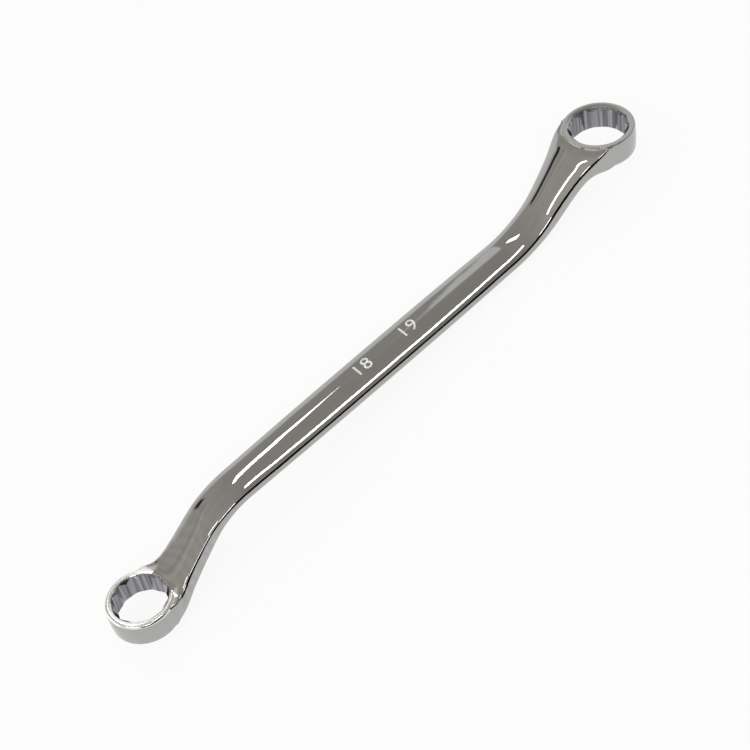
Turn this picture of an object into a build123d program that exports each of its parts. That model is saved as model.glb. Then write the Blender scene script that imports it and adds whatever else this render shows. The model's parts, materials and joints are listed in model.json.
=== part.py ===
from build123d import *
from math import asin, atan2, cos, degrees, hypot, radians, sin, tan
import os

# Double-ended offset ring spanner for 18 mm and 19 mm nuts, in millimetres.
# It is one drop forging: two ring heads on the ends of a crowned bar that is bent
# into a shallow S, with the small head below the bar and the large head above it.
# The spanner lies on a table, the plane z = 0, with its broad face up.
# X runs along it towards the large ring, and the origin is under its middle.

# Sizes across the flats of the nuts
large_nut = 19.0
small_nut = 18.0

# Ring heads: metal outside the nut's corners, height, and rounding of the rims
large_ring_wall = 2.45
small_ring_wall = 2.25
ring_height = 10.2
ring_edge_round = 0.7

# Cones that lead the nut in: how far they open past the nut's corners at each face
large_upper_lead_in = 0.75
large_lower_lead_in = 0.4
small_upper_lead_in = 0.9
small_lower_lead_in = 0.3

# How far before the ring the crown of the neck meets the flat face
crease_reach = 1.15

# Ring centres: how far along the bar from its middle, and how far off its axis
large_ring_reach = 117.0
small_ring_reach = 117.0
large_ring_offset = 17.0
small_ring_offset = 18.0
ring_tilt = 9.0

# Bar: full width at its middle, waist before each neck, thickness over the crowns,
# height of its narrow edges, and the rounding between edges and crowns
bar_width = 16.2
waist_width = 15.2
bar_thickness = 7.9
bar_edge_height = 3.2
bar_edge_round = 0.8

# How far the sides of the bar and of the rings bulge out between their edges
bar_side_bulge = 0.3
ring_side_bulge = 0.2

# Bends: how far before the ring's centre the bar turns up or down, how far inside the ring
# the neck turns into it, and the radii of the turns
neck_run = 42.0
large_bend_radius = 46.0
small_bend_radius = 34.0
entry_inset = 2.0
entry_bend_radius = 10.4

# How far a cut runs past the metal
overrun = 5.0

nut_points = 12
hexagon_sides = 6

# Straight part of the bar: places along it, and how much of the waist each has
straight_shares = (0.12, 0.3, 0.5, 0.7, 0.88)
straight_waist_shares = (0.55, 0.1, 0.0, 0.1, 0.55)

# From bar to ring: places as shares of each stretch of the centre line, then one value
# for each place. Outer is the side that runs out into the rim of the ring, hollow the
# other. Widths go from the waist to the ring, edges from the bar's to the ring's height.
bend_shares = (0.0, 0.5, 1.0)
neck_shares = (0.45, 0.8)
entry_shares = (0.0, 0.5, 1.0)
ring_shares = (0.55,)
outer_width_shares = (0.0, 0.0, 0.03, 0.16, 0.31, 0.39, 0.5, 0.66, 0.7)
hollow_width_shares = (0.0, 0.0, 0.03, 0.17, 0.36, 0.58, 0.75, 0.84, 0.85)
outer_edge_shares = (0.0, 0.0, 0.0, 0.0, 0.0, 0.0, 0.23, 0.8, 0.6)
hollow_edge_shares = (0.0, 0.015, 0.1, 0.11, 0.2, 0.51, 0.85, 0.95, 0.95)
outer_crown_shares = (1.0, 1.04, 1.12, 1.3, 1.6, 1.85, 1.86, 0.6, 0.1)
hollow_crown_shares = (1.0, 0.99, 0.88, 0.75, 0.6, 0.45, 0.1, 0.04, 0.04)


def corner_radius(nut):
    # From the middle of a hexagon nut to its corners
    return nut / (2 * cos(radians(180 / hexagon_sides)))


def tip_radius(nut):
    # From the middle to the inner tips, where the flats of the two hexagons cross
    return nut / (2 * cos(radians(180 / nut_points)))


class Head:
    # Everything about one end of the spanner, in the plane of the side view,
    # where x runs along the bar and y is up off its broad face
    def __init__(self, side, nut, wall, reach, offset, bend_radius, upper_lead_in, lower_lead_in):
        self.side = side
        self.nut = nut
        self.radius = corner_radius(nut) + wall
        self.upper_radius = corner_radius(nut) + upper_lead_in
        self.lower_radius = corner_radius(nut) + lower_lead_in
        self.bend_radius = bend_radius
        self.centre = (side * reach, side * offset)
        self.bend = (side * (reach - neck_run), 0)
        entry_distance = self.radius - entry_inset
        self.entry = (
            self.centre[0] - side * entry_distance * cos(radians(ring_tilt)),
            self.centre[1] + side * entry_distance * sin(radians(ring_tilt)),
        )
        # The neck climbs at this angle off the bar, and turns back by more into the ring
        rise = side * (self.entry[1] - self.bend[1])
        run = side * (self.entry[0] - self.bend[0])
        self.neck_angle = atan2(rise, run)


large = Head(
    1,
    large_nut,
    large_ring_wall,
    large_ring_reach,
    large_ring_offset,
    large_bend_radius,
    large_upper_lead_in,
    large_lower_lead_in,
)
small = Head(
    -1,
    small_nut,
    small_ring_wall,
    small_ring_reach,
    small_ring_offset,
    small_bend_radius,
    small_upper_lead_in,
    small_lower_lead_in,
)

# The spanner rests on the small ring, where its flat face meets the neck, and on the
# underside of the large bend. The line through both gives the angle at which the bar lies.
rim_distance = small.radius + crease_reach
rim_contact = (
    small.centre[0] + rim_distance * cos(radians(ring_tilt)) - ring_height / 2 * sin(radians(ring_tilt)),
    small.centre[1] - rim_distance * sin(radians(ring_tilt)) - ring_height / 2 * cos(radians(ring_tilt)),
)
bend_centre = (large.bend[0] - large_bend_radius * tan(large.neck_angle / 2), large_bend_radius)
contact_run = bend_centre[0] - rim_contact[0]
contact_rise = bend_centre[1] - rim_contact[1]
bend_underside = large_bend_radius + bar_thickness / 2
lie_angle = atan2(contact_rise, contact_run) - asin(bend_underside / hypot(contact_run, contact_rise))
lying_tilt = radians(ring_tilt) + lie_angle


def end_reach(head):
    # How far the head reaches along X from the middle of the bar once it lies down
    along = head.side * (head.centre[0] * cos(lie_angle) + head.centre[1] * sin(lie_angle))
    flat = (head.radius - ring_edge_round) * cos(lying_tilt)
    upright = (ring_height / 2 - ring_edge_round) * sin(lying_tilt)
    return along + flat + upright + ring_edge_round


bar_x_dir = (cos(lie_angle), 0, -sin(lie_angle))
bar_origin = (
    (end_reach(small) - end_reach(large)) / 2,
    0,
    rim_contact[0] * sin(lie_angle) - rim_contact[1] * cos(lie_angle),
)
side_plane = Plane(origin=bar_origin, x_dir=bar_x_dir, z_dir=(0, -1, 0))
ring_x_dir = (cos(lying_tilt), 0, -sin(lying_tilt))
ring_axis_dir = (sin(lying_tilt), 0, cos(lying_tilt))
bar_crown = (bar_thickness - bar_edge_height) / 2


def ring_plane(head):
    # Across the ring at mid height, its z along the ring's axis
    return Plane(origin=side_plane.from_local_coords(head.centre), x_dir=ring_x_dir, z_dir=ring_axis_dir)


def ring_side_plane(head):
    # Upright through the ring's axis, its y along that axis
    return Plane(origin=side_plane.from_local_coords(head.centre), x_dir=ring_x_dir, z_dir=(0, -1, 0))


def ring_axis(head):
    return Axis(side_plane.from_local_coords(head.centre), ring_axis_dir)


with BuildLine(side_plane) as centre_line:
    FilletPolyline(
        small.centre,
        small.entry,
        small.bend,
        large.bend,
        large.entry,
        large.centre,
        radius=[entry_bend_radius, small.bend_radius, large.bend_radius, entry_bend_radius],
    )
stretches = centre_line.wire().edges().sort_by(centre_line.wire())
small_end, small_entry, small_neck, small_bend, straight, *large_stretches = stretches


def station_plane(edge, share):
    # Across the centre line, facing the large ring, with y up off the broad face
    return Plane(origin=edge @ share, x_dir=(0, 1, 0), z_dir=edge % share)


def between(start, end, share):
    return start + share * (end - start)


def head_stations(head, bend_edge, neck_edge, entry_edge, ring_edge):
    # Places and sections from the bar out to the ring
    places = [(bend_edge, share) for share in bend_shares]
    places += [(neck_edge, share) for share in neck_shares]
    places += [(entry_edge, share) for share in entry_shares]
    places += [(ring_edge, share) for share in ring_shares]
    stations = []
    for number, (edge, share) in enumerate(places):
        outer = (
            between(waist_width / 2, head.radius, outer_width_shares[number]),
            between(bar_edge_height / 2, ring_height / 2, outer_edge_shares[number]),
            outer_crown_shares[number] * bar_crown,
        )
        hollow = (
            between(waist_width / 2, head.radius, hollow_width_shares[number]),
            between(bar_edge_height / 2, ring_height / 2, hollow_edge_shares[number]),
            hollow_crown_shares[number] * bar_crown,
        )
        if head.side > 0:
            stations.append((station_plane(edge, share), outer, hollow))
        else:
            stations.append((station_plane(edge, 1 - share), hollow, outer))
    return stations


def straight_stations():
    # The bar is widest at its middle and thins to a waist at each end
    stations = []
    for share, waist_share in zip(straight_shares, straight_waist_shares):
        side = (between(bar_width, waist_width, waist_share) / 2, bar_edge_height / 2, bar_crown)
        stations.append((station_plane(straight, share), side, side))
    return stations


stations = list(reversed(head_stations(small, small_bend, small_neck, small_entry, small_end)))
stations += straight_stations()
stations += head_stations(large, *large_stretches)

with BuildPart() as spanner:
    # The bent bar, from inside the small ring to inside the large ring. Each section has a
    # crown above and below, and sides that bulge a little between the edges.
    for plane, (upper_half, upper_edge, upper_crown), (lower_half, lower_edge, lower_crown) in stations:
        side_half = (upper_half + lower_half) / 2 + bar_side_bulge
        side_height = (upper_edge - lower_edge) / 2
        top_left = (-upper_half, upper_edge)
        top_right = (upper_half, upper_edge)
        bottom_left = (-lower_half, -lower_edge)
        bottom_right = (lower_half, -lower_edge)
        with BuildSketch(plane) as bar_section:
            with BuildLine():
                ThreePointArc(top_left, (0, upper_edge + upper_crown), top_right)
                ThreePointArc(top_right, (side_half, side_height), bottom_right)
                ThreePointArc(bottom_right, (0, -lower_edge - lower_crown), bottom_left)
                ThreePointArc(bottom_left, (-side_half, side_height), top_left)
            make_face()
            fillet(bar_section.vertices(), bar_edge_round)
    loft()

    for head in (large, small):
        # The ring as a disc with rounded rims
        with BuildSketch(ring_side_plane(head)) as rim:
            with BuildLine():
                Polyline(
                    (head.radius, ring_height / 2),
                    (0, ring_height / 2),
                    (0, -ring_height / 2),
                    (head.radius, -ring_height / 2),
                )
                ThreePointArc(
                    (head.radius, -ring_height / 2),
                    (head.radius + ring_side_bulge, 0),
                    (head.radius, ring_height / 2),
                )
            make_face()
            fillet(rim.vertices().group_by(Axis.X)[-1], ring_edge_round)
        revolve(axis=ring_axis(head))

    for head in (large, small):
        # The neck runs out into one face of the ring, which is ground flat
        with BuildSketch(ring_plane(head).offset(head.side * ring_height / 2)):
            Rectangle(4 * head.radius, 4 * head.radius)
        extrude(amount=head.side * (overrun + bar_thickness), mode=Mode.SUBTRACT)

    for head in (large, small):
        # Twelve-point bore, two hexagons turned half a point from each other
        with BuildSketch(ring_plane(head).offset(-ring_height / 2 - overrun)):
            for turn in (0.5, 1.5):
                hexagon_turn = turn * 360 / nut_points
                RegularPolygon(head.nut / 2, hexagon_sides, major_radius=False, rotation=hexagon_turn)
        extrude(amount=ring_height + 2 * overrun, mode=Mode.SUBTRACT)

        # Cones at both faces of the ring
        cone_depth = 2 * (corner_radius(head.nut) - tip_radius(head.nut))
        for face_side, lead_radius in ((1, head.upper_radius), (-1, head.lower_radius)):
            face = face_side * ring_height / 2
            with BuildSketch(ring_side_plane(head)):
                with BuildLine():
                    Polyline(
                        (0, face + face_side * overrun),
                        (lead_radius, face + face_side * overrun),
                        (lead_radius, face),
                        (lead_radius - cone_depth, face - face_side * cone_depth),
                        (0, face - face_side * cone_depth),
                        close=True,
                    )
                make_face()
            revolve(axis=ring_axis(head), mode=Mode.SUBTRACT)

os.makedirs("parts", exist_ok=True)
spanner.part.label = "spanner"
export_step(spanner.part, "parts/spanner.step")
print("bar lies at", round(degrees(lie_angle), 2), "degrees")
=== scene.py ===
import json
import math

import bpy
from mathutils import Matrix, Vector


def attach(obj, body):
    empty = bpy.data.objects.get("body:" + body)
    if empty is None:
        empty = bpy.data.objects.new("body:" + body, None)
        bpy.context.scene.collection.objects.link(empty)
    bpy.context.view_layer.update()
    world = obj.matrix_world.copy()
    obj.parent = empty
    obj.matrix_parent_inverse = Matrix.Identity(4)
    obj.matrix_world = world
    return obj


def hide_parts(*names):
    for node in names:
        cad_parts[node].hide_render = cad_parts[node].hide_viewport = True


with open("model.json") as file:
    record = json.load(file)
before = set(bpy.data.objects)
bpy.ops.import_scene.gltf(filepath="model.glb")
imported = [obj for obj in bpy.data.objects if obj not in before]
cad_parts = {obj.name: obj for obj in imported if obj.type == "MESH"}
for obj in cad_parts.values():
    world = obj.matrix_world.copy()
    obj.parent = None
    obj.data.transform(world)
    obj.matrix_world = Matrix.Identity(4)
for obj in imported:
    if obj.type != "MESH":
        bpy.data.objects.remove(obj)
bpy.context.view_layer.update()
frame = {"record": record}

mm = 0.001


# Small helpers for working as by hand

def deselectAll():
    if bpy.context.mode != "OBJECT":
        bpy.ops.object.mode_set(mode="OBJECT")
    bpy.ops.object.select_all(action="DESELECT")


def makeActive(piece):
    deselectAll()
    piece.select_set(True)
    bpy.context.view_layer.objects.active = piece


def editMesh(piece, selectMode="VERT"):
    makeActive(piece)
    bpy.ops.object.mode_set(mode="EDIT")
    bpy.ops.mesh.select_mode(type=selectMode)
    bpy.ops.mesh.select_all(action="SELECT")


def leaveEdit():
    bpy.ops.object.mode_set(mode="OBJECT")


def applyModifier(piece, kind, **settings):
    makeActive(piece)
    modifier = piece.modifiers.new(kind.title(), kind)
    for name, value in settings.items():
        setattr(modifier, name, value)
    bpy.ops.object.modifier_apply(modifier=modifier.name)


def placePiece(piece, matrix):
    # moves a piece made at the origin to its place, and keeps the place in its mesh
    piece.matrix_world = matrix
    makeActive(piece)
    bpy.ops.object.transform_apply(location=True, rotation=True, scale=True)


def copyPiece(piece, name):
    makeActive(piece)
    bpy.ops.object.duplicate()
    bpy.context.object.name = name
    return bpy.context.object


def newMesh(name, vertices, edges):
    mesh = bpy.data.meshes.new(name)
    mesh.from_pydata(vertices, edges, [])
    piece = bpy.data.objects.new(name, mesh)
    bpy.context.scene.collection.objects.link(piece)
    return piece


def between(start, end, share):
    return start + (end - start) * share


# Sizes of the spanner, in millimetres as it is measured on the bench
spannerSet = {
    "nut": {"large": 19.0, "small": 18.0},          # across flats
    "wall": {"large": 2.45, "small": 2.45},         # metal outside the nut's corners
    "upperLeadIn": {"large": 0.45, "small": 0.35},   # how far each cone opens past the corners
    "lowerLeadIn": {"large": 0.4, "small": 0.4},
    "ringHeight": 10.2,
    "groundRim": 0.45,           # rounding of the ring's rim at its ground face
    "forgedRim": 1.25,           # and at the face left as forged
    "ringBulge": 0.2,
    "ringProud": 0.3,            # how far each ground face stands out of its neck
    "ringReach": 117.0,          # ring centres along the bar from its middle
    "ringOffset": {"large": 17.0, "small": 18.0},
    "ringTilt": 9.0,
    "barWidth": 16.2,
    "waistWidth": 15.2,
    "edgeHeight": 3.2,
    "crown": 2.35,
    "edgeCut": 0.85,             # where the bar's edges start to round, from their corners
    "sideBulge": 0.3,
    "neckRun": 42.0,             # from the bend to the ring's centre
    "bendRadius": {"large": 46.0, "small": 34.0},
    "entryInset": 2.0,
    "entryRadius": 10.4,
    "sectionStep": 2.0,
    "voxel": 0.4,
    "smoothAll": 4,
    "smoothSeams": 24,
    "seamReach": 3.4,            # how far the neck's blend runs out from the ring
    "seamGap": 0.6,              # and how far it stays below the ground face
    "ringSides": 144,
    "coreInset": 0.1,            # the ring inside the skin is this much smaller than the turned one
    "coneDepth": 2.4,
    "coneOver": 0.4,             # how far a cutting cone stands past the face
    "edgeBreak": {"width": 0.22, "depth": 0.12, "slope": 2.5},
    "cornerBevel": 0.45,         # broached corners and points aren't quite sharp
    "pointBevel": 0.22,
    "merge": 0.002,              # vertices nearer than this become one at the end
}

# From bar to ring: one value for each place. The outer side runs out into the ground rim, and
# the hollow side is the other. Widths and edges are shares of the way from bar to ring.
neckPlaces = (("bend", 0), ("bend", 0.5), ("bend", 1), ("neck", 0.45), ("neck", 0.8),
              ("entry", 0), ("entry", 0.5), ("entry", 1), ("ring", 0.55))
outerSide = {
    "width": (0, 0, 0.03, 0.17, 0.34, 0.5, 0.67, 0.83, 0.88),
    "edge": (0, 0, 0, 0, 0, 0, 0.23, 0.83, 1.0),
    "crown": (1, 1.04, 1.12, 1.28, 1.38, 1.42, 1.45, 0.1, 0.05),
    "round": (1, 1, 1, 1, 1, 1, 1, 1, 1),
}
hollowSide = {
    "width": (0, 0, 0.03, 0.12, 0.3, 0.59, 0.83, 0.91, 0.92),
    "edge": (0, 0.09, 0.29, 0.335, 0.37, 0.485, 0.79, 0.94, 0.94),
    "crown": (1, 0.82, 0.53, 0.41, 0.34, 0.3, 0.1, 0.04, 0.04),
    "round": (1, 1, 1, 1, 1.1, 1.2, 1.2, 1, 1),
}
slimNeck = (0, 0, 0.03, 0.08, 0.14, 0.16, 0.1, 0.1, 0.1)  # taken off the small neck's hollow side
barPlaces = (0, 0.4, 0.76)        # along the straight part, with the share of its full width
barWidths = (1, 0.9, 0.45)
crownSteps, sideSteps, rimSteps, bulgeSteps = 16, 4, 8, 6


def cornerRadius(end):
    return spannerSet["nut"][end] / (2 * math.cos(math.radians(30)))


def tipRadius(end):
    return spannerSet["nut"][end] / (2 * math.cos(math.radians(15)))


def ringRadius(end):
    return cornerRadius(end) + spannerSet["wall"][end]


# Where the spanner lies, from the two sockets in the frame
mounts = {mount["name"]: mount for mount in frame["record"]["mounts"]}
ringCentre = {end: Vector(mounts[end + "_socket"]["pos_m"]) for end in ("large", "small")}
ringAxis = Vector(mounts["large_socket"]["axis"]).normalized()
ringAngle = math.atan2(ringAxis.x, ringAxis.z)
ringTurn = Matrix.Rotation(ringAngle, 4, "Y")
ringMatrix = {end: Matrix.Translation(ringCentre[end]) @ ringTurn for end in ringCentre}
lying = Matrix.Rotation(ringAngle - math.radians(spannerSet["ringTilt"]), 4, "Y")
largeFromMiddle = Vector((spannerSet["ringReach"], 0, spannerSet["ringOffset"]["large"])) * mm
barMatrix = Matrix.Translation(ringCentre["large"] - lying @ largeFromMiddle) @ lying
groundSide = {"large": 1, "small": -1}   # the small ring is ground on its lower face
towardsBar = {"large": -1, "small": 1}


# Centre line of half the bar, in the side view: straight, bend, neck, entry, ring

def layRuns(end):
    # each run is its start, its first and last angle, and its length
    tilt = math.radians(spannerSet["ringTilt"])
    intoRing = Vector((math.cos(tilt), -math.sin(tilt)))
    centre = Vector((spannerSet["ringReach"], spannerSet["ringOffset"][end]))
    entryReach = ringRadius(end) - spannerSet["entryInset"]
    entry = centre - intoRing * entryReach
    bend = Vector((spannerSet["ringReach"] - spannerSet["neckRun"], 0))
    neckAngle = math.atan2(entry.y, entry.x - bend.x)
    alongNeck = (entry - bend).normalized()
    bendRadius, entryRadius = spannerSet["bendRadius"][end], spannerSet["entryRadius"]
    bendCut = bendRadius * math.tan(neckAngle / 2)
    entryCut = entryRadius * math.tan((neckAngle + tilt) / 2)
    neckLength = (entry - bend).length - bendCut - entryCut
    return {
        "straight": (Vector((0, 0)), 0, 0, bend.x - bendCut),
        "bend": (bend - Vector((bendCut, 0)), 0, neckAngle, bendRadius * neckAngle),
        "neck": (bend + alongNeck * bendCut, neckAngle, neckAngle, neckLength),
        "entry": (entry - alongNeck * entryCut, neckAngle, -tilt, entryRadius * (neckAngle + tilt)),
        "ring": (entry + intoRing * entryCut, -tilt, -tilt, entryReach - entryCut),
    }


def pointOnRun(run, share):
    start, firstAngle, lastAngle, length = run
    angle = between(firstAngle, lastAngle, share)
    if firstAngle == lastAngle:
        return start + Vector((math.cos(angle), math.sin(angle))) * length * share, angle
    radius = length / (lastAngle - firstAngle)
    across = Vector((math.sin(angle) - math.sin(firstAngle), math.cos(firstAngle) - math.cos(angle)))
    return start + across * radius, angle


def smoothValue(places, values, place):
    # cubic through the values, so that the sections change evenly
    last = len(places) - 1
    number = max(i for i in range(last) if places[i] <= place or i == 0)
    slopes = []
    for i in (number, number + 1):
        low, high = max(i - 1, 0), min(i + 1, last)
        slopes.append((values[high] - values[low]) / (places[high] - places[low]))
    span = places[number + 1] - places[number]
    t = (place - places[number]) / span
    return (values[number] * (1 + 2 * t) * (1 - t) ** 2 + values[number + 1] * t * t * (3 - 2 * t)
            + slopes[0] * span * t * (1 - t) ** 2 - slopes[1] * span * t * t * (1 - t))


def halfSections(end):
    # point, angle and the two sides of each section, from the bar's middle out to the ring
    runs = layRuns(end)
    starts, total = {}, 0
    for name, run in runs.items():
        starts[name] = total
        total += run[3]
    waist, full = spannerSet["waistWidth"] / 2, spannerSet["barWidth"] / 2
    barEdge, ringEdge = spannerSet["edgeHeight"] / 2, spannerSet["ringHeight"] / 2
    places = [runs["straight"][3] * share for share in barPlaces]
    places += [starts[name] + runs[name][3] * share for name, share in neckPlaces]
    tables = {}
    onBar = (1,) * len(barPlaces)
    for sideName, side in (("outer", outerSide), ("hollow", hollowSide)):
        slim = end == "small" and sideName == "hollow"
        shares = [share - less * slim for share, less in zip(side["width"], slimNeck)]
        widths = [between(waist, full, share) for share in barWidths]
        widths += [between(waist, ringRadius(end), share) for share in shares]
        edges = [barEdge] * len(barPlaces) + [between(barEdge, ringEdge, share) for share in side["edge"]]
        crowns = [spannerSet["crown"] * share for share in onBar + side["crown"]]
        rounds = [spannerSet["edgeCut"] * share for share in onBar + side["round"]]
        tables[sideName] = (widths, edges, crowns, rounds)
    sections = []
    count = round(places[-1] / spannerSet["sectionStep"])
    for number in range(count + 1):
        place = places[-1] * number / count
        name = [run for run in runs if starts[run] <= place + 1e-6][-1]
        point, angle = pointOnRun(runs[name], (place - starts[name]) / runs[name][3])
        outer, hollow = ([smoothValue(places, row, place) for row in tables[side]] for side in tables)
        sections.append((point, angle, outer, hollow))
    return sections


def outline(upper, lower):
    # one section seen along the bar: two crowns, two bulged sides, and rounded edges
    def crownPoint(side, share):
        half, edge, crown, cut = side
        radius = (half * half + crown * crown) / (2 * crown)
        across = (half - cut) * share
        return Vector((across, edge + crown - radius + math.sqrt(radius * radius - across * across)))

    def sidePoint(share):
        length = upper[1] + lower[1]
        t = between(upper[3], length - lower[3], share) / length
        bulge = 4 * t * (1 - t) * spannerSet["sideBulge"]
        return Vector((between(upper[0], lower[0], t) + bulge, between(upper[1], -lower[1], t)))

    def rounded(start, corner, end):
        return [start * (1 - t) ** 2 + corner * 2 * t * (1 - t) + end * t * t for t in (0.2, 0.4, 0.6, 0.8)]

    shares = [2 * number / crownSteps - 1 for number in range(crownSteps + 1)]
    top = [crownPoint(upper, share) for share in shares]
    underside = [crownPoint(lower, -share) for share in shares]
    bottom = [Vector((point.x, -point.y)) for point in underside]
    right = [sidePoint(number / sideSteps) for number in range(sideSteps + 1)]
    left = [Vector((-point.x, point.y)) for point in reversed(right)]
    points = top + rounded(top[-1], Vector((upper[0], upper[1])), right[0])
    points += right + rounded(right[-1], Vector((lower[0], -lower[1])), bottom[0])
    points += bottom + rounded(bottom[-1], Vector((-lower[0], -lower[1])), left[0])
    return points + left + rounded(left[-1], Vector((-upper[0], upper[1])), top[0])


def makeBar():
    # outlines along the centre line, bridged into a skin and capped inside the rings
    loops = []
    for point, angle, outer, hollow in reversed(halfSections("small")):
        loops.append((-point.x, -point.y, angle, hollow, outer))
    for point, angle, outer, hollow in halfSections("large")[1:]:
        loops.append((point.x, point.y, angle, outer, hollow))
    vertices, edges = [], []
    for x, z, angle, upper, lower in loops:
        first = len(vertices)
        turn = Matrix.Rotation(-angle, 4, "Y")
        for spot in outline(upper, lower):
            vertices.append(barMatrix @ ((Vector((x, 0, z)) + turn @ Vector((0, *spot))) * mm))
        count = len(vertices) - first
        edges += [(first + number, first + (number + 1) % count) for number in range(count)]
    bar = newMesh("spannerBody", vertices, edges)
    editMesh(bar, "EDGE")
    bpy.ops.mesh.bridge_edge_loops()
    bpy.ops.mesh.select_all(action="DESELECT")
    bpy.ops.mesh.select_non_manifold()
    bpy.ops.mesh.edge_face_add()
    bpy.ops.mesh.select_all(action="SELECT")
    bpy.ops.mesh.normals_make_consistent(inside=False)
    leaveEdit()
    applyModifier(bar, "SUBSURF", levels=2, render_levels=2)
    for end, side in groundSide.items():
        # the crown of each neck is ground off in the plane of the ring's face
        height = spannerSet["ringHeight"] / 2 - spannerSet["ringProud"]
        facePoint = ringCentre[end] + ringAxis * side * height * mm
        editMesh(bar)
        bpy.ops.mesh.bisect(plane_co=facePoint, plane_no=ringAxis * side, use_fill=True, clear_outer=True)
        leaveEdit()
    return bar


def makeRing(end, name, inset=0.0, lower=0.0):
    # the ring as a disc: half of its section, spun round the axis
    radius, half = ringRadius(end) - inset, spannerSet["ringHeight"] / 2
    faces = [(spannerSet["groundRim"], half - lower), (spannerSet["forgedRim"], half - inset)]
    (upperRim, top), (lowerRim, bottom) = faces if groundSide[end] > 0 else reversed(faces)
    profile = [(0, top)]
    turns = [math.radians(90 * number / rimSteps) for number in range(rimSteps + 1)]
    for turn in turns:
        across, along = math.sin(turn), math.cos(turn)
        profile.append((radius - upperRim + upperRim * across, top - upperRim + upperRim * along))
    for number in range(1, bulgeSteps):
        t = number / bulgeSteps
        bulge = 4 * t * (1 - t) * spannerSet["ringBulge"]
        profile.append((radius + bulge, between(top - upperRim, lowerRim - bottom, t)))
    for turn in turns:
        across, along = math.cos(turn), math.sin(turn)
        profile.append((radius - lowerRim + lowerRim * across, lowerRim - bottom - lowerRim * along))
    profile.append((0, -bottom))
    vertices = [ringMatrix[end] @ (Vector((x, 0, z)) * mm) for x, z in profile]
    ring = newMesh(name, vertices, [(number, number + 1) for number in range(len(profile) - 1)])
    editMesh(ring)
    bpy.ops.mesh.spin(steps=spannerSet["ringSides"], angle=math.tau, center=ringCentre[end], axis=ringAxis)
    bpy.ops.mesh.select_all(action="SELECT")
    bpy.ops.mesh.remove_doubles(threshold=1e-6)
    bpy.ops.mesh.normals_make_consistent(inside=False)
    leaveEdit()
    return ring


def combine(piece, cutter, operation):
    applyModifier(piece, "BOOLEAN", operation=operation, solver="MANIFOLD", object=cutter)
    bpy.data.objects.remove(cutter)


def smoothSeam(piece, end):
    # a soft blend where neck and ring meet, by smoothing the forging there more than elsewhere
    group = piece.vertex_groups.new(name=end + "Seam")
    fromWorld = ringMatrix[end].inverted()
    reach, radius = spannerSet["seamReach"] * mm, ringRadius(end) * mm
    top = (spannerSet["ringHeight"] / 2 - spannerSet["seamGap"]) * mm
    for vertex in piece.data.vertices:
        place = fromWorld @ vertex.co
        across = math.hypot(place.x, place.y)
        near = 1 - abs(across - radius) / reach
        onNeck = place.x * towardsBar[end] / max(across, 1e-6)
        fromGround = top - place.z * groundSide[end]
        if near > 0 and onNeck > 0 and fromGround > 0:
            weight = min(1, 2 * near) * min(1, 4 * onNeck) * min(1, fromGround / mm)
            group.add([vertex.index], weight, "REPLACE")
    times = spannerSet["smoothSeams"]
    applyModifier(piece, "SMOOTH", factor=0.5, iterations=times, vertex_group=group.name)


def cutLeadIns(piece, end):
    # a cone at each face leads the nut in, and its outer edge is broken by a flatter one
    half, over = spannerSet["ringHeight"] / 2, spannerSet["coneOver"]
    edge = spannerSet["edgeBreak"]
    for side, leadIn in ((1, spannerSet["upperLeadIn"][end]), (-1, spannerSet["lowerLeadIn"][end])):
        opening = cornerRadius(end) + leadIn
        leadCone = (opening, spannerSet["coneDepth"], 1)
        edgeCone = (opening + edge["width"], edge["depth"], edge["slope"])
        for outer, depth, slope in (leadCone, edgeCone):
            radii = (outer - depth * slope) * mm, (outer + over * slope) * mm
            deselectAll()
            bpy.ops.mesh.primitive_cone_add(
                vertices=spannerSet["ringSides"], radius1=radii[side < 0], radius2=radii[side > 0],
                depth=(depth + over) * mm, location=(0, 0, side * (half + (over - depth) / 2) * mm))
            cone = bpy.context.object
            placePiece(cone, cone.matrix_world.copy())
            placePiece(cone, ringMatrix[end])
            combine(piece, cone, "DIFFERENCE")


def cutBore(piece, end):
    # twelve points, drawn as a 24-sided rod with every other corner pushed in
    deselectAll()
    bpy.ops.mesh.primitive_cylinder_add(
        vertices=24, radius=cornerRadius(end) * mm, depth=2 * spannerSet["ringHeight"] * mm)
    cutter = bpy.context.object
    editMesh(cutter)
    bpy.ops.mesh.select_all(action="DESELECT")
    leaveEdit()
    for vertex in cutter.data.vertices:
        vertex.select = round(math.degrees(math.atan2(vertex.co.y, vertex.co.x)) / 15) % 2 == 0
    inward = tipRadius(end) / cornerRadius(end)
    bpy.ops.object.mode_set(mode="EDIT")
    bpy.ops.transform.resize(value=(inward, inward, 1), center_override=(0, 0, 0))
    for evenCorner, width in ((1, spannerSet["cornerBevel"]), (0, spannerSet["pointBevel"])):
        bpy.ops.mesh.select_mode(type="EDGE")
        bpy.ops.mesh.select_all(action="DESELECT")
        leaveEdit()
        reaches = (tipRadius(end) * mm, cornerRadius(end) * mm)
        for edge in cutter.data.edges:
            first, last = (cutter.data.vertices[number].co for number in edge.vertices)
            upright = (first - last).to_2d().length < 1e-6
            edge.select = upright and abs(first.to_2d().length - reaches[evenCorner]) < 1e-5
        bpy.ops.object.mode_set(mode="EDIT")
        bpy.ops.mesh.bevel(offset=width * mm, segments=2)
    leaveEdit()
    placePiece(cutter, ringMatrix[end])
    combine(piece, cutter, "DIFFERENCE")


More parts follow.
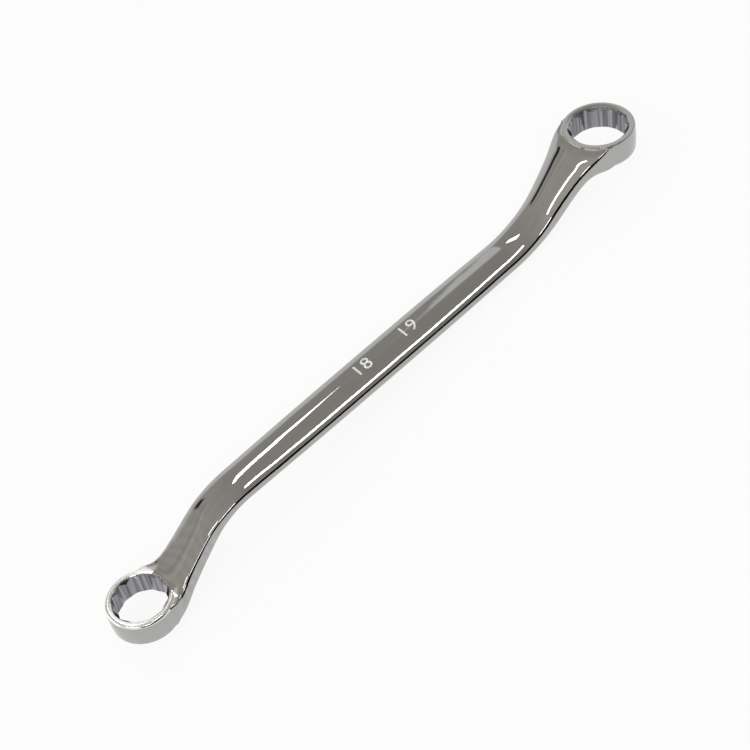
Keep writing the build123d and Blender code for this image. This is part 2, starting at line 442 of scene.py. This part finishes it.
bar = makeBar()
print("bar skinned:", len(bar.data.polygons), "faces")
cores = []
for end in ("large", "small"):
    cores.append(makeRing(end, end + "Core", spannerSet["coreInset"], spannerSet["ringProud"]))
deselectAll()
for piece in cores + [bar]:
    piece.select_set(True)
bpy.context.view_layer.objects.active = bar
bpy.ops.object.join()
applyModifier(bar, "REMESH", mode="VOXEL", voxel_size=spannerSet["voxel"] * mm)
applyModifier(bar, "SMOOTH", factor=0.5, iterations=spannerSet["smoothAll"])
for end in ("large", "small"):
    smoothSeam(bar, end)
print("forging joined and smoothed:", len(bar.data.polygons), "faces")
for end in ("large", "small"):
    combine(bar, makeRing(end, end + "Ring"), "UNION")
blank = copyPiece(bar, "blank")  # kept without its bores, for the size marks
for end in ("large", "small"):
    cutLeadIns(bar, end)
    cutBore(bar, end)
print("bores broached:", len(bar.data.polygons), "faces")


# Raised size marks on the broad face, with tops that follow its crown
markSet = {
    "height": 5.4,
    "ofFont": 0.7,            # a digit's height as a share of the font's size
    "spacing": 1.12,
    "depth": 1.2,
    "proud": 0.2,
    "marks": (("18", -5.0), ("19", 17.0)),  # number and place along the bar
}


def makeMark(number, place):
    deselectAll()
    bpy.ops.object.text_add()
    text = bpy.context.object
    text.data.body = number
    text.data.align_x = "CENTER"
    text.data.align_y = "CENTER"
    text.data.size = markSet["height"] / markSet["ofFont"] * mm
    text.data.space_character = markSet["spacing"]
    text.data.extrude = markSet["depth"] * mm
    makeActive(text)
    bpy.ops.object.convert(target="MESH")
    mark = bpy.context.object
    mark.name = "sizeMark" + number
    editMesh(mark)
    bpy.ops.mesh.remove_doubles(threshold=1e-7)
    leaveEdit()
    top = spannerSet["edgeHeight"] / 2 + spannerSet["crown"]
    placePiece(mark, barMatrix @ Matrix.Translation(Vector((place, 0, top)) * mm))
    applyModifier(mark, "BOOLEAN", operation="INTERSECT", solver="MANIFOLD", object=blank)
    return mark


applyModifier(blank, "DISPLACE", strength=markSet["proud"] * mm, mid_level=0)
marks = [makeMark(number, place) for number, place in markSet["marks"]]
bpy.data.objects.remove(blank)
print("size marks cut:", [len(mark.data.polygons) for mark in marks])


# Shader maths: an expression on values adds its nodes

class Value:
    def __init__(self, tree, socket=None):
        self.tree, self.socket = tree, socket

    def node(self, kind, output=0, settings=None, **inputs):
        node = self.tree.nodes.new(kind)
        for name, value in (settings or {}).items():
            setattr(node, name, value)
        for name, value in inputs.items():
            socket = node.inputs[int(name[1:])] if name[1:].isdigit() else node.inputs[name]
            if isinstance(value, Value):
                self.tree.links.new(value.socket, socket)
            else:
                socket.default_value = value
        return Value(self.tree, node.outputs[output])

    def maths(self, operation, a, b=0.0):
        return self.node("ShaderNodeMath", settings={"operation": operation}, _0=a, _1=b)

    def __add__(self, other):
        return self.maths("ADD", self, other)

    def __sub__(self, other):
        return self.maths("SUBTRACT", self, other)

    def __rsub__(self, other):
        return self.maths("SUBTRACT", other, self)

    def __mul__(self, other):
        return self.maths("MULTIPLY", self, other)

    __radd__ = __add__

    def rise(self, low, high):
        # 0 below low, 1 above high, smooth between
        kind = {"interpolation_type": "SMOOTHSTEP"}
        return self.node("ShaderNodeMapRange", 0, kind, _0=self, _1=low, _2=high)

    def vector(self, operation, other, output=0):
        return self.node("ShaderNodeVectorMath", output, {"operation": operation}, _0=self, _1=other)

    def split(self):
        parts = self.node("ShaderNodeSeparateXYZ", _0=self)
        return [Value(self.tree, socket) for socket in parts.socket.node.outputs]

    def mixColor(self, first, second):
        # this value is the factor between two colours
        return self.node("ShaderNodeMix", 2, {"data_type": "RGBA"}, _0=self, _6=first, _7=second)

    def noise(self, scale, detail=2.0):
        return self.node("ShaderNodeTexNoise", Vector=self, Scale=scale, Detail=detail)


chromeSet = {
    "plate": (0.4, 0.4, 0.397, 1),
    "boreDark": (0.15, 0.147, 0.163, 1),
    "boreLight": (0.33, 0.327, 0.343, 1),
    # painted dark reflection for the -X side of each bore
    "paintedDarkReflection": (0.07, 0.069, 0.077, 1),
    "satin": (0.95, 0.95, 0.945, 1),
    # painted highlight: a much lighter colour on the forged face and its rim than on the plate
    "rim": (0.88, 0.88, 0.875, 1),
    "plateRoughness": (0.025, 0.07),
    "boreRoughness": 0.16,
    "groundRoughness": 0.2,
    "forgedRoughness": 0.16,
    "satinRoughness": 0.45,
    "waveScale": 60.0,        # slow waves left by hand polishing
    "waveDepth": 0.12,
    "grainScale": (120.0, 900.0, 900.0),
    "grainDepth": 0.0006,
    "smudgeScale": 90.0,
    "smudgeTone": 0.05,
    "broachScale": 900.0,     # upright stripes left by the broach
    "broachStretch": 0.03,
    "broachDepth": 0.03,
    "broachTone": (0.34, 0.66),
    "darkReflectionShare": 0.8,         # painted dark reflection: the bores are darker at one side, towards -X
    "darkReflectionReach": (-9.5, -6.0),
    "swirl": {"Scale": 70.0, "Distortion": 9.0, "Detail": 2.0, "_4": 1.2},
    "swirlTone": 0.16,        # faint polishing swirls on the small neck
    "swirlReach": (12.0, 16.0, 36.0, 46.0),
    "toneRange": (0.7, 1.3),
    "satinScale": 2500.0,
    "satinDepth": 0.02,
}
# where each mask of a ring begins and is full, in millimetres past the size it starts from
maskSet = {
    "outside": (-0.02, 0.04),     # outwards from the bore's corners
    "pastLeadIn": (0.05, 0.15),
    "pastRing": (0.05, 0.3),      # outwards from the ring's wall
    "offRing": (-0.2, 1.6),
    "groundFace": (-0.3, -0.05),  # upwards to the ground face
    "forgedFaceAndHighlight": (0.7, 1.3),     # upwards from the forged face
    "alongNeck": (2.0, 5.0),      # from the ring's centre
    "besideNeck": (5.5, 7.0),
}


def shaded(colour, share):
    return [value * share for value in colour[:3]] + [1]


def reaches(mask, start=0.0):
    return [(start + reach) * mm for reach in maskSet[mask]]


def makeChrome(name, satin):
    material = bpy.data.materials.new(name)
    material.use_nodes = True
    tree = material.node_tree
    shader = tree.nodes["Principled BSDF"]
    start = Value(tree)
    place = start.node("ShaderNodeTexCoord", 3)
    half = spannerSet["ringHeight"] / 2
    inBore = groundFace = forgedFaceAndHighlight = broach = darkReflectionSide = 0.0
    for end, side in groundSide.items():
        fromCentre = place.vector("SUBTRACT", ringCentre[end])
        kind = {"rotation_type": "Y_AXIS"}
        local = start.node("ShaderNodeVectorRotate", 0, kind, Vector=fromCentre, Angle=-ringAngle)
        radial = local.vector("MULTIPLY", (1, 1, 0)).vector("LENGTH", (0, 0, 0), 1)
        along, across, height = local.split()
        height = height * side
        beside = across.maths("ABSOLUTE", across).rise(*reaches("besideNeck"))
        neckEnd = (along * towardsBar[end]).rise(*reaches("alongNeck")) * (1 - beside)
        outside = radial.rise(*reaches("outside", cornerRadius(end)))
        onRing = 1 - radial.rise(*reaches("pastRing", ringRadius(end)))
        inBore = (1 - outside) + inBore
        opening = cornerRadius(end) + spannerSet["upperLeadIn" if side > 0 else "lowerLeadIn"][end]
        onFace = radial.rise(*reaches("pastLeadIn", opening)) * onRing
        groundFace = height.rise(*reaches("groundFace", half)) * onFace + groundFace
        nearRing = 1 - radial.rise(*reaches("offRing", ringRadius(end)))
        # the forged face near each ring takes more roughness and a painted highlight
        onForgedAndHighlight = (1 - height.rise(*reaches("forgedFaceAndHighlight", -half))) * outside * nearRing
        forgedFaceAndHighlight = onForgedAndHighlight * (1 - neckEnd) + forgedFaceAndHighlight
        # a painted dark reflection on the -X side of each bore
        low, high = [reach * mm for reach in chromeSet["darkReflectionReach"]]
        darkReflectionSide = (1 - outside) * (1 - fromCentre.split()[0].rise(low, high)) + darkReflectionSide
        upright = local.vector("MULTIPLY", (1, 1, chromeSet["broachStretch"]))
        broach = upright.noise(chromeSet["broachScale"]) * (1 - outside) + broach
    wave = place.noise(chromeSet["waveScale"], 1.0)
    grain = place.vector("MULTIPLY", chromeSet["grainScale"]).noise(1.0, 3.0)
    smudge = place.noise(chromeSet["smudgeScale"], 4.0).rise(0.35, 0.75)
    low, high = chromeSet["plateRoughness"]
    roughness = smudge * (high - low) * (0.6 + grain * 0.4) + low
    roughness = roughness + inBore * chromeSet["boreRoughness"] + groundFace * chromeSet["groundRoughness"]
    roughness = roughness + forgedFaceAndHighlight * chromeSet["forgedRoughness"]
    fromSmall = place.vector("SUBTRACT", ringCentre["small"]).vector("LENGTH", (0, 0, 0), 1)
    first, full, last, gone = [reach * mm for reach in chromeSet["swirlReach"]]
    onNeck = fromSmall.rise(first, full) * (1 - fromSmall.rise(last, gone))
    swirl = start.node("ShaderNodeTexWave", 1, Vector=place, **chromeSet["swirl"])
    tone = (smudge - 0.5) * chromeSet["smudgeTone"] + (swirl - 0.5) * onNeck * chromeSet["swirlTone"] + 0.5
    plate = tone.mixColor(*[shaded(chromeSet["plate"], share) for share in chromeSet["toneRange"]])
    bore = broach.rise(*chromeSet["broachTone"]).mixColor(chromeSet["boreDark"], chromeSet["boreLight"])
    # the bores get the painted dark reflection at their -X side
    bore = (darkReflectionSide * chromeSet["darkReflectionShare"]).mixColor(bore, chromeSet["paintedDarkReflection"])
    # the forged face and its rim take the lighter rim colour as a painted highlight
    colour = inBore.mixColor(forgedFaceAndHighlight.mixColor(plate, chromeSet["rim"]), bore)
    height = wave * chromeSet["waveDepth"] + grain * chromeSet["grainDepth"]
    height = height + broach * chromeSet["broachDepth"]
    if satin:
        colour = smudge.mixColor(chromeSet["satin"], shaded(chromeSet["satin"], 0.9))
        roughness = smudge * 0.1 + chromeSet["satinRoughness"]
        height = place.noise(chromeSet["satinScale"]) * chromeSet["satinDepth"]
    bump = start.node("ShaderNodeBump", Strength=1.0, Distance=mm, Height=height)
    tree.links.new(colour.socket, shader.inputs["Base Color"])
    tree.links.new(roughness.socket, shader.inputs["Roughness"])
    tree.links.new(bump.socket, shader.inputs["Normal"])
    shader.inputs["Metallic"].default_value = 1.0
    return material


finishes = [makeChrome("polishedChrome", False), makeChrome("satinChrome", True)]
for piece in [bar] + marks:
    piece.data.materials.clear()
    for finish in finishes:
        piece.data.materials.append(finish)
for mark in marks:
    for face in mark.data.polygons:
        face.material_index = 1
    combine(bar, mark, "UNION")
editMesh(bar)
bpy.ops.mesh.remove_doubles(threshold=spannerSet["merge"] * mm)
bpy.ops.mesh.delete_loose()
bpy.ops.mesh.select_all(action="SELECT")
bpy.ops.mesh.normals_make_consistent(inside=False)
leaveEdit()
bpy.ops.object.shade_smooth_by_angle(angle=math.radians(30))
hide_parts("spanner")
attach(bar, "root")
print("size marks raised and chrome laid:", len(bar.data.polygons), "faces")


# Floor, room, lamps and camera
floorSet = {
    "size": 8.0,
    "colour": (0.86, 0.86, 0.86, 1),
    "white": 0.9,              # share of the floor's own white in what camera and chrome see
}
# leans are degrees from straight up towards +Y, and other reaches are parts of a unit direction
roomSet = {
    "ceiling": ((0.32, 0.305, 0.28, 1), (0.8, 0.762, 0.701, 1)),  # from its darkest to its lightest
    "shade": {"middle": 0.444, "near": 0.444, "everywhere": 0.311},  # darker towards +X
    "shadeY": (-0.35, 0.0),
    "patchScale": 4.0,
    "patchiness": 0.25,
    "beamLean": ((39, 44), (47, 52)),
    "beamX": (-0.34, -0.28),
    "beamTone": 0.18,
    "walls": (0.94, 0.94, 0.935, 1),
    "wallTop": (0.16, 0.30),
    "wallX": (0.335, 0.365),
    "wallLean": (36, 44),
    "dark": (0.03, 0.028, 0.026, 1),
    "doorwayLean": (62, 71),
    "doorwayX": (-0.38, -0.235),
    "skylight": (2.6, 2.6, 2.6, 1),
    "skylightX": (-0.68, -0.62),
    "skylightY": (0.1, 0.2),
    "skylightHeight": (0.03, 0.33),
}
cameraSet = {
    "place": (-0.08173, -0.37256, 0.49199),
    "turn": (32.623, 21.0963, -41.3442),
    "lens": 81.95,
    "sensor": 36,
}
softSet = {
    "place": (-0.4, 0.3, 2.2),
    "size": (2.4, 2.4),
    "brightness": 0.5,
}
lampHeight = 1.6
# first and last end of each strip on the ceiling, its width, and its brightness
lampSet = {
    "topStrip": ((0.30, -0.34), (0.98, -0.34), 0.15, 6.0),
    "leftStrip": ((-0.75, -0.493), (-1.44, -0.1), 0.14, 6.0),
    "nearStrip": ((-0.08, -1.78), (-0.78, -1.78), 0.6, 4.0),
    "cornerStrip": ((-1.5, -1.6), (-2.3, -1.6), 0.35, 4.0),
    "farStrip": ((0.2, 0.66), (0.57, 1.4), 0.14, 6.0),
}
cardSet = {
    "place": (-0.15, -1.5, 0.62),
    "size": (2.6, 1.24),
    "colour": (0.01, 0.01, 0.01, 1),
}


def makePaint(name, colour, roughness):
    paint = bpy.data.materials.new(name)
    paint.use_nodes = True
    shader = paint.node_tree.nodes["Principled BSDF"]
    shader.inputs["Base Color"].default_value = colour
    shader.inputs["Roughness"].default_value = roughness
    shader.inputs["Specular IOR Level"].default_value = 0.0
    return paint


deselectAll()
bpy.ops.mesh.primitive_plane_add(size=floorSet["size"], location=(0, 0, 0))
floor = bpy.context.object
floor.name = "floor"
floorPaint = makePaint("paleFloor", floorSet["colour"], 0.9)
tree = floorPaint.node_tree
start = Value(tree)
rays = start.node("ShaderNodeLightPath").socket.node.outputs
seen = sum(Value(tree, rays[ray]) for ray in ("Is Camera Ray", "Is Glossy Ray", "Is Transmission Ray"))
glow = start.node("ShaderNodeEmission", Color=(1, 1, 1, 1), Strength=1.0)
paint = Value(tree, tree.nodes["Principled BSDF"].outputs[0])
mixed = start.node("ShaderNodeMixShader", _0=seen * floorSet["white"], _1=paint, _2=glow)
tree.links.new(mixed.socket, tree.nodes["Material Output"].inputs["Surface"])
floor.data.materials.append(floorPaint)

# a black card on the near side, which only the chrome sees, as a thin dark line
deselectAll()
bpy.ops.mesh.primitive_plane_add(size=1)
card = bpy.context.object
card.name = "darkCard"
standing = Matrix.Rotation(math.radians(90), 4, "X") @ Matrix.Diagonal((*cardSet["size"], 1, 1))
placePiece(card, Matrix.Translation(cardSet["place"]) @ standing)
card.data.materials.append(makePaint("blackCard", cardSet["colour"], 1.0))
card.visible_camera = card.visible_diffuse = card.visible_shadow = False

room = bpy.data.worlds.new("room")
room.use_nodes = True
bpy.context.scene.world = room
tree = room.node_tree
direction = Value(tree).node("ShaderNodeTexCoord")
x, y, z = direction.split()
leaning = x.maths("ARCTAN2", y, z) * math.degrees(1)


def band(value, low, high, soft):
    return value.rise(low - soft, low + soft) * (1 - value.rise(high - soft, high + soft))


near = 1 - y.rise(*roomSet["shadeY"])
patches = (direction.noise(roomSet["patchScale"]) - 0.5) * roomSet["patchiness"]
shades = roomSet["shade"]
shade = shades["middle"] - x * (near * shades["near"] + shades["everywhere"]) + patches
lightBeam, darkBeam = [band(leaning, *ends, 1.5) for ends in roomSet["beamLean"]]
beams = (lightBeam - darkBeam) * (1 - x.rise(*roomSet["beamX"])) * roomSet["beamTone"]
roomTone = (shade + beams).mixColor(*roomSet["ceiling"])
paleWall = x.rise(*roomSet["wallX"]) * leaning.rise(*roomSet["wallLean"])
wall = x.maths("MAXIMUM", 1 - z.rise(*roomSet["wallTop"]), paleWall)
roomTone = wall.mixColor(roomTone, roomSet["walls"])
doorway = band(leaning, *roomSet["doorwayLean"], 2) * band(x, *roomSet["doorwayX"], 0.03)
roomTone = doorway.mixColor(roomTone, roomSet["dark"])
skylight = band(z, *roomSet["skylightHeight"], 0.03) * y.rise(*roomSet["skylightY"])
skylight = (1 - x.rise(*roomSet["skylightX"])) * skylight
roomTone = skylight.mixColor(roomTone, roomSet["skylight"])
tree.links.new(roomTone.socket, tree.nodes["Background"].inputs["Color"])


def addLamp(name, matrix, size, brightness):
    lampData = bpy.data.lights.new(name, "AREA")
    lampData.shape = "RECTANGLE"
    lampData.size, lampData.size_y = size
    lampData.energy = brightness * size[0] * size[1] * math.pi
    lamp = bpy.data.objects.new(name, lampData)
    bpy.context.scene.collection.objects.link(lamp)
    lamp.matrix_world = matrix
    return lamp


for name, (first, last, width, brightness) in lampSet.items():
    first, last = Vector((*first, lampHeight)), Vector((*last, lampHeight))
    along = last - first
    turn = Matrix.Rotation(math.atan2(along.y, along.x), 4, "Z")
    addLamp(name, Matrix.Translation((first + last) / 2) @ turn, (along.length, width), brightness)
softPlace = Matrix.Translation(softSet["place"])
softLight = addLamp("softLight", softPlace, softSet["size"], softSet["brightness"])
softLight.visible_glossy = False

cameraData = bpy.data.cameras.new("camera")
cameraData.lens = cameraSet["lens"]
cameraData.sensor_width = cameraSet["sensor"]
camera = bpy.data.objects.new("camera", cameraData)
bpy.context.scene.collection.objects.link(camera)
camera.location = cameraSet["place"]
camera.rotation_euler = [math.radians(angle) for angle in cameraSet["turn"]]
bpy.context.scene.camera = camera
bpy.context.scene.view_settings.view_transform = "Standard"
print("stage set")
